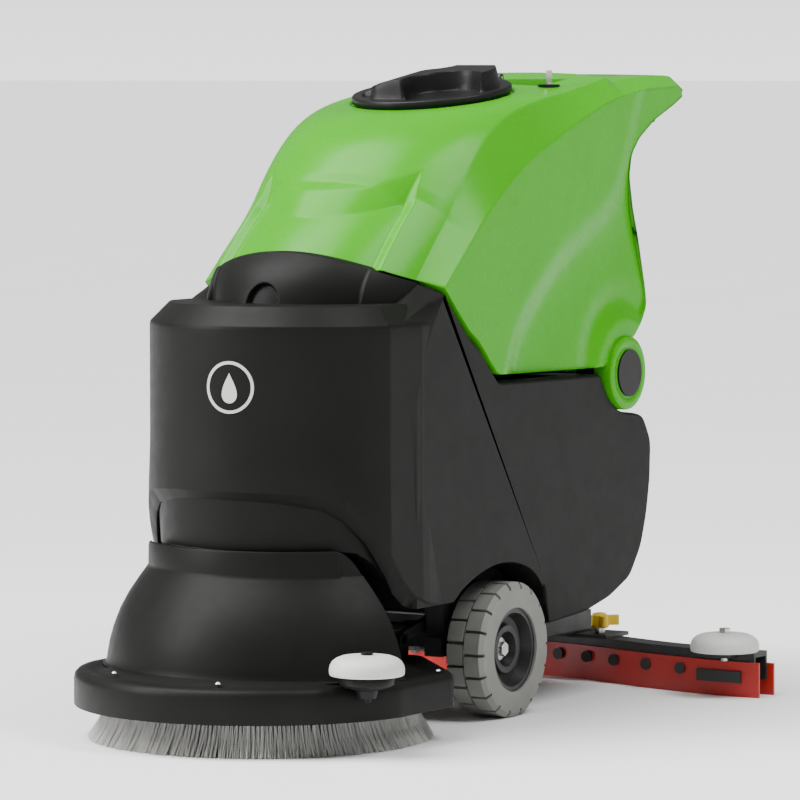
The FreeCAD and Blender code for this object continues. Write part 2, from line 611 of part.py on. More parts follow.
def roller(x, y, z0, z1):
    height = z1 - z0
    profile = [(PIN_RADIUS + RUNNING_GAP, z0), (ROLLER_RADIUS - 2, z0), (ROLLER_RADIUS, z0 + 3),
               (ROLLER_RADIUS, z0 + height * 0.45), (ROLLER_RADIUS - 6, z1 - 5), (ROLLER_RADIUS - 18, z1),
               (PIN_RADIUS + RUNNING_GAP, z1)]
    return turned(profile, x, y)


nodes["deck_roller"] = roller(*ROLLER_PLACE, 119, 148)
nodes["deck_roller_pin"] = rod_z(*ROLLER_PLACE, PIN_RADIUS, 80, 149).fuse(rod_z(*ROLLER_PLACE, 9, 149, 152))
for side, sign in (("right", 1), ("left", -1)):
    nodes["squeegee_roller_" + side] = roller(sign * SQUEEGEE_ROLLER_PLACE[0], SQUEEGEE_ROLLER_PLACE[1], 71,
                                              100)


# ---- squeegee ----
def squeegee_curve(offset):
    full = [(-x, y) for x, y in reversed(SQUEEGEE_LINE[1:])] + SQUEEGEE_LINE
    return [V(x, y + offset, 0) for x, y in full]


def ribbon(near, far, reach, z0, z1):
    """A strip that follows the squeegee's line between two offsets in Y."""
    front = squeegee_curve(near)
    back = list(reversed(squeegee_curve(far)))
    wire = chain([("curve", front), ("line", [front[-1], back[0]]),
                  ("curve", back), ("line", [back[-1], front[0]])])
    solid = Part.Face(wire).extrude(V(0, 0, z1 - z0))
    solid.translate(V(0, 0, z0))
    return solid.common(box(-reach, reach, 300, 700, z0 - 1, z1 + 1))


def squeegee_frame():
    top = ribbon(-22, 22, 418, 62, SQUEEGEE_TOP)
    walls = [ribbon(-22, -17, 418, 24, 62), ribbon(17, 22, 418, 24, 62)]
    ends = both_sides(box(350, 390, 400, 450, 62, SQUEEGEE_TOP))
    port = tube_z(0, HOSE_Y, 24, HOSE_RADIUS + 0.5, SQUEEGEE_TOP, 100)
    frame = fuse([top] + walls + ends + [port])
    frame = frame.cut(rod_z(0, HOSE_Y, HOSE_RADIUS + 0.5, 50, 110))
    for bore in both_sides(rod_z(*SQUEEGEE_ROLLER_PLACE, PIN_RADIUS, 50, 80)):
        frame = frame.cut(bore)
    return frame


nodes["squeegee_frame"] = squeegee_frame()
nodes["front_blade"] = ribbon(-26, -22, 428, 0, BLADE_HEIGHT + 5)
nodes["rear_blade"] = ribbon(22, 26, 429, 0, BLADE_HEIGHT)
nodes["rear_strap"] = ribbon(26, 28, 425, 34, 50)


def line_y(x):
    curve = Part.BSplineCurve()
    curve.interpolate(squeegee_curve(0))
    return curve.value(curve.parameter(V(x, 500, 0))).y


def blade_studs():
    studs = []
    for x in (25, 85, 145, 215, 285):
        y = line_y(x) - 26
        studs.extend(both_sides(Part.makeCylinder(9, 10, V(x, y + 4, 38), V(0, -1, 0))))
    return Part.makeCompound([s.cut(nodes["front_blade"]).cut(nodes["squeegee_frame"]) for s in studs])


nodes["blade_studs"] = blade_studs()
latch = ribbon(-31, -26, 400, 22, 40).common(box(318, 398, 300, 500, 0, 100))
nodes["blade_latches"] = Part.makeCompound(both_sides(latch))
roller_pins = both_sides(rod_z(*SQUEEGEE_ROLLER_PLACE, PIN_RADIUS, 56, 100.5).fuse(
    hexagon(*SQUEEGEE_ROLLER_PLACE, 17, 100.5, 107)))


def squeegee_arms():
    y0, z0 = SQUEEGEE_PIVOT
    bars = both_sides(fuse([rod_x(y0, z0, 11, 55, 67), side_solid(55, 67, closed(
        [(y0, z0 + 9), (y0, z0 - 9), (470, 70), (545, 70), (545, 80), (480, 90)]))]))
    plate = box(-130, 130, 470, 545, 70, 76)
    arms = fuse(bars + [plate])
    arms = arms.cut(rod_x(y0, z0, PIN_RADIUS + RUNNING_GAP, -112, 112)).cut(rod_z(0, HOSE_Y, 27, 60, 120))
    return arms


nodes["squeegee_arms"] = squeegee_arms()


def star_knob(x):
    hub = turned([(4.05, 84), (13, 84), (15, 88), (13, 104), (8, 108), (4.05, 108)], x, KNOB_Y)
    wings = []
    for k in range(4):
        wing = box(8, 27, -5, 5, 88, 104)
        wing = wing.fuse(rod_z(27, 0, 5, 88, 104))
        wing.rotate(V(0, 0, 0), Z_AXIS, 90 * k + 45)
        wing.translate(V(x, KNOB_Y, 0))
        wings.append(wing)
    return fuse([hub] + wings).cut(rod_z(x, KNOB_Y, 4.05, 80, 110))


def knob_stud(x):
    return fuse([rod_z(x, KNOB_Y, 4, 56, 106), rod_z(x, KNOB_Y, 9, 76, 83.5)])


for side, sign in (("right", 1), ("left", -1)):
    nodes["star_knob_" + side] = star_knob(sign * KNOB_X)
nodes["squeegee_bolts"] = Part.makeCompound(roller_pins + [knob_stud(KNOB_X), knob_stud(-KNOB_X)])
for side_x in (KNOB_X, -KNOB_X):
    hole = rod_z(side_x, KNOB_Y, 4, 40, 80)
    nodes["squeegee_arms"] = nodes["squeegee_arms"].cut(hole)
    nodes["squeegee_frame"] = nodes["squeegee_frame"].cut(hole)


# ---- suction hose and lift pedal ----
nodes["suction_hose"] = hose([V(0, HOSE_Y, 78), V(0, HOSE_Y, HOSE_TOP), V(0, 440, HOSE_TOP)], HOSE_RADIUS,
                             48, 15)
nodes["suction_port"] = Part.makeCylinder(26, 24, V(0, 462, HOSE_TOP), V(0, 1, 0)).cut(
    Part.makeCylinder(HOSE_RADIUS, 80, V(0, 420, HOSE_TOP), V(0, 1, 0))).cut(nodes["solution_tank"])


def pedal():
    y, z = PEDAL_PIVOT
    arm = side_solid(-158, -146, closed([(y - 8, z - 6), (y + 8, z - 8), (y + 95, z + 34), (y + 170, z + 44),
                                         (y + 170, z + 54), (y + 90, z + 46), (y - 4, z + 8)]))
    pad = box(-190, -140, y + 110, y + 175, z + 50, z + 60)
    return fuse([rod_x(y, z, 11, -158, -146), arm, pad]).cut(rod_x(y, z, PIN_RADIUS + RUNNING_GAP, -170,
                                                                   -130))


nodes["deck_pedal"] = pedal()

os.makedirs("parts", exist_ok=True)
for name, shape in nodes.items():
    shape.exportStep("parts/%s.step" % name)
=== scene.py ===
"""Looks of the walk-behind floor scrubber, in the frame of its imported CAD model.

Shapes are worked out in millimetres and become metres when a mesh is made. The front faces -Y, +Z is up.
"""

import math

import bmesh
import bpy
import numpy as np
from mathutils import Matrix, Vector


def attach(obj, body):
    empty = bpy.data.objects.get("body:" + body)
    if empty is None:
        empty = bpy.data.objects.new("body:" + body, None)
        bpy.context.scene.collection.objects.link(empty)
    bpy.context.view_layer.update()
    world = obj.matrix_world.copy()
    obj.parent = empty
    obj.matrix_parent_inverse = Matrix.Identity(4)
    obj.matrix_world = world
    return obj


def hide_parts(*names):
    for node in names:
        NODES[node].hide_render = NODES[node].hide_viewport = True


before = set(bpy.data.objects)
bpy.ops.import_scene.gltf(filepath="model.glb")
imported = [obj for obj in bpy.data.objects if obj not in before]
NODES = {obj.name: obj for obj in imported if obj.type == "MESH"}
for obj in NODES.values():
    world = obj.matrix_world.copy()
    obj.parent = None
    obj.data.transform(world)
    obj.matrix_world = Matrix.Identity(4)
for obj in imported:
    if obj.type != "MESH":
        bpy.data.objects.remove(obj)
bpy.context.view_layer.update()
MM = 0.001

# ---- driving sizes, mm ----
HALF_WIDTH = 212.0
TOP_HALF_WIDTH = 177.0
PIVOT = (381.0, 504.0)
LID_Y = 148.0
LID_Z = 934.0
LID_TILT = math.radians(9.0)
LID_SLOPE = math.tan(LID_TILT)
LID_RADIUS = 124.0
DRUM_Y = -236.0
DRUM_RADIUS = 220.0
DRUM_TOP = 636.0
BRUSH_Y = -340.0


# ---- number helpers ----
def ramp(a, b, x):
    """0 before a, 1 after b, straight between."""
    return np.clip((np.asarray(x, float) - a) / (b - a), 0.0, 1.0)


def ease(a, b, x):
    """0 before a, 1 after b, smooth between."""
    t = ramp(a, b, x)
    return t * t * (3 - 2 * t)


def spline(points, count, knots=None):
    """A natural cubic through the points, sampled evenly in its parameter; returns samples and parameters."""
    p = np.array(points, float)
    if knots is None:
        knots = np.r_[0, np.cumsum(np.linalg.norm(np.diff(p, axis=0), axis=1))]
    n = len(knots)
    h = np.diff(knots)
    system = np.eye(n)
    right = np.zeros((n, p.shape[1]))
    for i in range(1, n - 1):
        system[i, i - 1:i + 2] = h[i - 1], 2 * (h[i - 1] + h[i]), h[i]
        right[i] = 6 * ((p[i + 1] - p[i]) / h[i] - (p[i] - p[i - 1]) / h[i - 1])
    bend = np.linalg.solve(system, right)
    s = np.linspace(knots[0], knots[-1], count) if np.isscalar(count) else np.asarray(count)
    i = np.clip(np.searchsorted(knots, s, side="right") - 1, 0, n - 2)
    a = (s - knots[i])[:, None]
    b = (knots[i + 1] - s)[:, None]
    w = h[i][:, None]
    out = (bend[i] * b ** 3 + bend[i + 1] * a ** 3) / (6 * w)
    out += (p[i] / w - bend[i] * w / 6) * b + (p[i + 1] / w - bend[i + 1] * w / 6) * a
    return out, s


def resample(points, count):
    """Points spread evenly along a polyline."""
    p = np.array(points, float)
    length = np.r_[0, np.cumsum(np.linalg.norm(np.diff(p, axis=0), axis=1))]
    s = np.linspace(0, length[-1], count)
    return np.stack([np.interp(s, length, p[:, k]) for k in range(p.shape[1])], axis=1)


def rounded(points, radius, closed=True, steps=5):
    """A polyline with its corners cut by small parabolas."""
    p = [np.array(q, float) for q in points]
    out = []
    n = len(p)
    for i in range(n):
        if not closed and i in (0, n - 1):
            out.append(p[i])
            continue
        a, b, c = p[i - 1], p[i], p[(i + 1) % n]
        da, dc = np.linalg.norm(a - b), np.linalg.norm(c - b)
        start = b + (a - b) * min(radius / da, 0.45)
        end = b + (c - b) * min(radius / dc, 0.45)
        for t in np.linspace(0, 1, steps):
            out.append((1 - t) ** 2 * start + 2 * t * (1 - t) * b + t * t * end)
    return np.array(out)


# ---- mesh helpers ----
def add_mesh(name, verts, faces, material, body, sharp=40.0, slot=None, replaces=()):
    mesh = bpy.data.meshes.new(name)
    mesh.from_pydata((np.asarray(verts, float) * MM).tolist(), [], [list(map(int, f)) for f in faces])
    obj = bpy.data.objects.new(name, mesh)
    bpy.context.scene.collection.objects.link(obj)
    bm = bmesh.new()
    bm.from_mesh(mesh)
    bmesh.ops.remove_doubles(bm, verts=bm.verts, dist=0.02 * MM)
    bmesh.ops.dissolve_degenerate(bm, edges=bm.edges, dist=0.01 * MM)
    bmesh.ops.recalc_face_normals(bm, faces=bm.faces)
    bm.to_mesh(mesh)
    bm.free()
    soften(mesh, sharp)
    mesh.materials.append(material)
    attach(obj, body)
    if replaces:
        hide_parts(*replaces)
    return obj


def soften(mesh, sharp):
    """Smooth shading, with edges over the sharp angle kept crisp."""
    mesh.polygons.foreach_set("use_smooth", [True] * len(mesh.polygons))
    if sharp < 180:
        mesh.set_sharp_from_angle(angle=math.radians(sharp))


def grid_faces(rows, columns, wrap=False, start=0):
    faces = []
    last = columns if wrap else columns - 1
    for r in range(rows - 1):
        for c in range(last):
            d = (c + 1) % columns
            a = start + r * columns
            faces.append((a + c, a + d, a + columns + d, a + columns + c))
    return faces


def mirrored(rows):
    """Rows of points from the middle to the right, joined to their mirror image."""
    half = np.stack(rows)
    return np.concatenate([half[:, ::-1] * [-1, 1, 1], half[:, 1:]], axis=1)


def loops_mesh(name, loops, material, body, cap_ends=True, **options):
    """Skins closed loops that all have the same number of points."""
    loops = [np.asarray(loop, float) for loop in loops]
    count = len(loops[0])
    verts = np.concatenate(loops)
    faces = grid_faces(len(loops), count, wrap=True)
    if cap_ends:
        faces.append(tuple(range(count)))
        faces.append(tuple(range((len(loops) - 1) * count, len(loops) * count)))
    return add_mesh(name, verts, faces, material, body, **options)


def lathe(name, profile, centre, material, body, axis="Z", steps=96, **options):
    """Turns (radius, height) points about an axis through centre."""
    angles = np.linspace(0, 2 * math.pi, steps, endpoint=False)
    loops = []
    for r, h in profile:
        r = max(r, 0.0)
        if axis == "Z":
            loops.append(np.stack([r * np.cos(angles), r * np.sin(angles), np.full(steps, h)], 1) + centre)
        else:
            loops.append(np.stack([np.full(steps, h), r * np.cos(angles), r * np.sin(angles)], 1) + centre)
    return loops_mesh(name, loops, material, body, **options)


def cut(obj, tool):
    """Takes one mesh away from another, once and for all."""
    modifier = obj.modifiers.new("cut", "BOOLEAN")
    modifier.operation = "DIFFERENCE"
    modifier.solver = "EXACT"
    modifier.object = tool
    depsgraph = bpy.context.evaluated_depsgraph_get()
    mesh = bpy.data.meshes.new_from_object(obj.evaluated_get(depsgraph))
    obj.modifiers.clear()
    old = obj.data
    obj.data = mesh
    bpy.data.meshes.remove(old)
    bpy.data.objects.remove(tool, do_unlink=True)


def tool_mesh(verts, faces):
    mesh = bpy.data.meshes.new("tool")
    mesh.from_pydata((np.asarray(verts, float) * MM).tolist(), [], [list(map(int, f)) for f in faces])
    bm = bmesh.new()
    bm.from_mesh(mesh)
    bmesh.ops.recalc_face_normals(bm, faces=bm.faces)
    bm.to_mesh(mesh)
    bm.free()
    obj = bpy.data.objects.new("tool", mesh)
    bpy.context.scene.collection.objects.link(obj)
    return obj


def prism_x(outline, x0, x1):
    """A cutting tool: a (y, z) outline swept across the machine."""
    n = len(outline)
    verts = [(x, y, z) for x in (x0, x1) for y, z in outline]
    faces = [tuple(range(n)), tuple(range(n, 2 * n))]
    faces += [(i, (i + 1) % n, n + (i + 1) % n, n + i) for i in range(n)]
    return tool_mesh(verts, faces)


def box_tool(x0, x1, y0, y1, z0, z1):
    return prism_x([(y0, z0), (y1, z0), (y1, z1), (y0, z1)], x0, x1)


# ---- materials ----
def new_material(name):
    material = bpy.data.materials.new(name)
    material.use_nodes = True
    nodes = material.node_tree.nodes
    return material, nodes, material.node_tree.links, nodes["Principled BSDF"]


def plastic(name, color, roughness, grain_size, grain, spread=0.12, coat=0.0, metallic=0.0, round_edges=0.0,
            specular=0.5):
    """Moulded or painted surface: faint cloudy colour, uneven gloss and a fine grain in the relief."""
    material, nodes, links, shader = new_material(name)
    coords = nodes.new("ShaderNodeTexCoord")
    cloud = nodes.new("ShaderNodeTexNoise")
    cloud.inputs["Scale"].default_value = 9.0
    cloud.inputs["Detail"].default_value = 5.0
    links.new(coords.outputs["Object"], cloud.inputs["Vector"])
    tint = nodes.new("ShaderNodeValToRGB")
    dark = [c * (1 - spread) for c in color]
    light = [min(c * (1 + spread), 1.0) for c in color]
    tint.color_ramp.elements[0].position = 0.3
    tint.color_ramp.elements[0].color = (*dark, 1)
    tint.color_ramp.elements[1].position = 0.7
    tint.color_ramp.elements[1].color = (*light, 1)
    links.new(cloud.outputs["Fac"], tint.inputs["Fac"])
    links.new(tint.outputs["Color"], shader.inputs["Base Color"])
    wear = nodes.new("ShaderNodeTexNoise")
    wear.inputs["Scale"].default_value = 45.0
    wear.inputs["Detail"].default_value = 8.0
    links.new(coords.outputs["Object"], wear.inputs["Vector"])
    gloss = nodes.new("ShaderNodeMapRange")
    gloss.inputs["To Min"].default_value = roughness * 0.8
    gloss.inputs["To Max"].default_value = min(roughness * 1.25, 1.0)
    links.new(wear.outputs["Fac"], gloss.inputs["Value"])
    links.new(gloss.outputs["Result"], shader.inputs["Roughness"])
    fine = nodes.new("ShaderNodeTexNoise")
    fine.inputs["Scale"].default_value = grain_size
    fine.inputs["Detail"].default_value = 3.0
    links.new(coords.outputs["Object"], fine.inputs["Vector"])
    bump = nodes.new("ShaderNodeBump")
    bump.inputs["Strength"].default_value = grain
    bump.inputs["Distance"].default_value = 0.0004
    links.new(fine.outputs["Fac"], bump.inputs["Height"])
    if round_edges:
        edge = nodes.new("ShaderNodeBevel")
        edge.samples = 4
        edge.inputs["Radius"].default_value = round_edges * MM
        links.new(edge.outputs["Normal"], bump.inputs["Normal"])
    links.new(bump.outputs["Normal"], shader.inputs["Normal"])
    shader.inputs["Metallic"].default_value = metallic
    shader.inputs["Coat Weight"].default_value = coat
    shader.inputs["Specular IOR Level"].default_value = specular
    shader.inputs["Coat Roughness"].default_value = 0.12
    return material


def brushed(name, color, roughness):
    """Plated steel with fine drawn lines."""
    material = plastic(name, color, roughness, 900.0, 0.15, spread=0.08, metallic=1.0)
    nodes = material.node_tree.nodes
    links = material.node_tree.links
    lines = nodes.new("ShaderNodeTexNoise")
    stretch = nodes.new("ShaderNodeMapping")
    stretch.inputs["Scale"].default_value = (20.0, 900.0, 900.0)
    coords = next(n for n in nodes if n.type == "TEX_COORD")
    bump = next(n for n in nodes if n.type == "BUMP")
    links.new(coords.outputs["Object"], stretch.inputs["Vector"])
    links.new(stretch.outputs["Vector"], lines.inputs["Vector"])
    links.new(lines.outputs["Fac"], bump.inputs["Height"])
    return material


GREEN = plastic("green_shell", (0.040, 0.30, 0.003), 0.26, 260.0, 0.04, spread=0.03, coat=0.02, specular=0.12,
                round_edges=1.6)
DARK = plastic("dark_shell", (0.0085, 0.0085, 0.008), 0.42, 420.0, 0.10, spread=0.10, specular=0.08,
               round_edges=2.0)
BLACK = plastic("black_moulding", (0.009, 0.009, 0.009), 0.36, 700.0, 0.12, specular=0.15, round_edges=1.0)
SWITCH = plastic("switch_cap", (0.02, 0.02, 0.022), 0.3, 500.0, 0.1)
GAUGE = plastic("gauge_window", (0.012, 0.02, 0.022), 0.08, 200.0, 0.03, coat=0.6)
COATED = plastic("powder_coat", (0.016, 0.016, 0.016), 0.48, 1400.0, 0.4)
STEEL = brushed("plated_steel", (0.62, 0.62, 0.60), 0.28)
MOTOR = plastic("motor_casing", (0.05, 0.05, 0.055), 0.4, 900.0, 0.3)
BATTERY = plastic("battery_case", (0.035, 0.036, 0.04), 0.5, 600.0, 0.2)
TYRE = plastic("tyre_rubber", (0.20, 0.20, 0.185), 0.72, 600.0, 0.35, spread=0.16)
RIM = plastic("rim_moulding", (0.012, 0.012, 0.012), 0.38, 500.0, 0.15)
ROLLER = plastic("roller_moulding", (0.56, 0.56, 0.53), 0.5, 700.0, 0.15, spread=0.06)
RED = plastic("blade_rubber", (0.42, 0.016, 0.012), 0.38, 500.0, 0.15, spread=0.2)
STUD = plastic("stud_moulding", (0.02, 0.02, 0.02), 0.4, 700.0, 0.2)
YELLOW = plastic("knob_moulding", (0.75, 0.50, 0.012), 0.35, 600.0, 0.12)
HOSE = plastic("hose_rubber", (0.02, 0.02, 0.02), 0.55, 800.0, 0.3)
BRISTLE = plastic("bristle_nylon", (0.44, 0.44, 0.42), 0.55, 900.0, 0.2, spread=0.25)
FLOAT = plastic("float_moulding", (0.45, 0.45, 0.44), 0.5, 600.0, 0.15)
BADGE = plastic("badge_print", (0.50, 0.50, 0.49), 0.45, 700.0, 0.1, spread=0.05)

CAD_FINISHES = {
    "pivot_caps": BLACK, "lid_seal": HOSE, "lid_hinge_pin": STEEL, "lid_hinge_bracket": COATED,
    "key_switch": BLACK, "key": STEEL, "charge_gauge": GAUGE, "control_panel": BLACK,
    "brush_switch": SWITCH, "vacuum_switch": SWITCH, "lever_pins": STEEL, "drive_lever": BLACK,
    "drain_hose": HOSE, "drain_cap": BLACK, "float_cage": FLOAT, "float_ball": FLOAT,
    "tank_hinge_shaft": STEEL, "batteries": BATTERY,
    "vacuum_motor": MOTOR, "chassis_frame": COATED, "axle": STEEL, "frame_pins": STEEL, "axle_bolts": STEEL,
    "suction_port": BLACK, "suction_hose": HOSE, "deck_arms": COATED, "deck_pins": STEEL,
    "deck_screws": STEEL,
    "brush_motor": MOTOR, "deck_roller_pin": BLACK, "brush_block": BLACK, "caster_fork": STEEL,
    "caster_pin": STEEL, "caster_wheel": TYRE, "squeegee_arms": COATED, "squeegee_frame": COATED,
    "front_blade": RED, "rear_blade": RED, "rear_strap": STEEL, "blade_studs": STUD, "blade_latches": STUD,
    "squeegee_bolts": STEEL, "star_knob_right": YELLOW, "star_knob_left": YELLOW, "deck_pedal": COATED,
    "rim_right": RIM, "rim_left": RIM, "tyre_right": TYRE, "tyre_left": TYRE, "tank_lid": BLACK,
    "recovery_tank": GREEN, "solution_tank": DARK, "front_shroud": DARK, "deck_housing": DARK,
    "deck_hood": DARK, "bristles": BRISTLE, "deck_roller": ROLLER,
    "squeegee_roller_right": ROLLER, "squeegee_roller_left": ROLLER,
}
EDGE_ROUND = {"tyre_right": 1.2, "tyre_left": 1.2, "rim_right": 1.0, "rim_left": 1.0, "pivot_caps": 0.8,
              "squeegee_frame": 0.8, "squeegee_arms": 0.8, "chassis_frame": 1.0, "star_knob_right": 1.2,
              "star_knob_left": 1.2, "batteries": 2.0, "drive_lever": 1.5, "blade_studs": 0.6,
              "key_switch": 1.0, "key": 0.4, "axle_bolts": 0.6, "squeegee_bolts": 0.6, "control_panel": 1.0}


def finish_cad_nodes():
    for name, obj in NODES.items():
        obj.data.materials.clear()
        obj.data.materials.append(CAD_FINISHES[name])
        if name in EDGE_ROUND:
            bevel = obj.modifiers.new("edges", "BEVEL")
            bevel.width = EDGE_ROUND[name] * MM
            bevel.segments = 2
            bevel.limit_method = "ANGLE"
            bevel.angle_limit = math.radians(35)
            bevel.harden_normals = False


finish_cad_nodes()


# ---- recovery tank ----
TOP_OUTER = [(-165, 659), (-41, 762), (60, 829), (192, 883), (340, 930), (480, 948), (540, 951), (562, 950),
             (573, 944)]
TOP_EDGE = [(-189, 668), (-70, 782), (66, 865), (217, 921), (328, 948), (480, 966), (545, 969), (582, 968),
            (596, 964), (601, 957)]
TOP_MIDDLE = [(-334, 668), (-200, 782), (-20, 884), (190, 930), (320, 950), (480, 968), (545, 971),
              (592, 970), (608, 966), (614, 959)]
NECK_EDGE = [(-204, 600), (-202, 636), (-189, 668), (-134, 720)]
NECK_MIDDLE = [(-360, 600), (-350, 636), (-334, 668), (-276, 720)]
TANK_BASE = [(-167, 657), (-98, 593), (-65, 572), (-35, 543), (-9, 521), (320, 516), (418, 562), (438, 582),
             (454, 606), (449, 635), (426, 713), (408, 762), (397, 812), (404, 845), (428, 870), (479, 899),
             (542, 922), (573, 936)]
BLISTER = [(0, -159), (27, -151), (52, -130), (81, -98), (104, -59), (124, -10), (143, 49), (150, 108),
           (149, 165), (142, 203), (124, 232), (92, 262), (50, 284), (0, 292)]
BULGE_RADIUS = 205.0


def bulge(x):
    """Share of the way from the edge profile to the middle one: the front is round in plan."""
    edge = math.sqrt(BULGE_RADIUS ** 2 - TOP_HALF_WIDTH ** 2)
    return (np.sqrt(BULGE_RADIUS ** 2 - np.asarray(x, float) ** 2) - edge) / (BULGE_RADIUS - edge)


def parting(x):
    """Height of the tank's lower front edge, which arches up in the middle."""
    return 668.0 + 46.0 * (1 - (np.asarray(x, float) / TOP_HALF_WIDTH) ** 2)


BLISTER_CURVE = spline(BLISTER, 160)[0]
BLISTER_ANGLE = np.arctan2(BLISTER_CURVE[:, 0], BLISTER_CURVE[:, 1] - LID_Y)[::-1]
BLISTER_RADIUS = np.hypot(BLISTER_CURVE[:, 0], BLISTER_CURVE[:, 1] - LID_Y)[::-1]


def blister(x, y, z):
    """Height of the tank's top where the blister and the lid seat rise out of it."""
    dy = y - LID_Y
    radius = np.hypot(x, dy)
    angle = np.arctan2(np.abs(x), dy)
    outer = np.interp(angle, BLISTER_ANGLE, BLISTER_RADIUS)
    seat_edge = LID_RADIUS + 3.5
    inner = np.maximum(outer - 10.0 - 8.0 * ease(-150, 0, y), seat_edge + 4.0)
    height_of_step = 7.0 + 5.0 * ease(-150, 40, y) * (1 - 0.5 * ease(180, 260, y))
    step = z + height_of_step * ramp(0, 1, (outer - radius) / (outer - inner))
    rim = seat_edge / np.maximum(radius, 1.0)
    seat = LID_Z - 2.0 + dy * np.where(radius > seat_edge, rim, 1.0) * LID_SLOPE
    rise = ramp(0, 1, (inner - radius) / (inner - seat_edge))
    dome = step + (seat + 4.0 - step) * rise ** 1.15
    lip = seat + 4.0 * ramp(LID_RADIUS + 1.2, LID_RADIUS + 2.6, radius)
    height = np.where(radius < seat_edge, lip, np.where(radius < inner, dome, step))
    return np.where(radius < outer, np.maximum(height, np.where(radius < seat_edge, lip, z)), z)


def brow_depth(x, z):
    """How far the front panel is set back under its brow."""
    x = np.abs(x)
    upper = 798 + 13 * (x / 117.0) ** 2
    lower = 769 + 17 * (x / 124.0) ** 2
    down = np.clip((upper - z) / (upper - lower), 0, 1)
    side = 139 - 9 * ramp(775, 812, z) + 3 * ramp(760, 690, z)
    return 13.0 * np.minimum(down, ramp(0, 8, side - x))


def side_depth(y, z):
    """How far the tank's side is hollowed behind its swoosh, up to the round boss."""
    line, _ = spline([(-2, 516), (21, 575), (78, 641), (186, 719), (262, 757), (334, 797), (372, 860)], 80)
    dy = y[..., None] - line[:, 0]
    dz = z[..., None] - line[:, 1]
    nearest = np.argmin(dy ** 2 + dz ** 2, axis=-1)
    tangent = np.gradient(line, axis=0)
    tangent /= np.linalg.norm(tangent, axis=1)[:, None]
    t = tangent[nearest]
    off_y = np.take_along_axis(dy, nearest[..., None], -1)[..., 0]
    off_z = np.take_along_axis(dz, nearest[..., None], -1)[..., 0]
    beyond = off_y * t[..., 1] - off_z * t[..., 0]
    depth = 12.0 * ease(0, 60, beyond) * (1 - 0.75 * ease(60, 260, beyond))
    depth = depth * (1 - ease(700, 860, z)) + 3.0 * ease(0, 40, beyond) * ease(700, 860, z)
    boss = np.hypot(y - PIVOT[0], z - PIVOT[1])
    return depth * ease(80, 122, boss) + 5.0 * ease(84, 108, boss) * (1 - ease(108, 150, boss))


def crown_columns(count):
    """The tank's round top as columns of points from x = 177 to x = 0; the columns to -177 are worked out too
    but not returned.
    """
    knots = np.r_[0, np.cumsum(np.linalg.norm(np.diff(np.array(TOP_EDGE, float), axis=0), axis=1))]
    samples = 1500
    edge, _ = spline(TOP_EDGE, samples, knots)
    middle, _ = spline(TOP_MIDDLE, samples, knots)
    half = np.r_[177, 175.5, 173.5, np.arange(171, 0, -2.0), 0]
    places = np.r_[half, -half[-2::-1]]
    grid = np.zeros((len(places), count, 3))
    for k, x in enumerate(places):
        line = edge + bulge(x) * (middle - edge)
        first = int(np.argmax(line[:, 1] >= parting(x)))
        pick = np.linspace(first, samples - 1, count)
        grid[k, :, 0] = x
        grid[k, :, 1] = np.interp(pick, np.arange(samples), line[:, 0])
        grid[k, :, 2] = np.interp(pick, np.arange(samples), line[:, 1])
    along = np.gradient(grid, axis=1)
    across = np.gradient(grid, axis=0)
    normal = np.cross(along, across)
    normal /= np.linalg.norm(normal, axis=2)[..., None]
    normal *= np.sign(normal[..., 2:3])
    grid = grid - normal * brow_depth(grid[..., 0], grid[..., 2])[..., None]
    grid[..., 2] = blister(grid[..., 0], grid[..., 1], grid[..., 2])
    return grid[:len(half)]


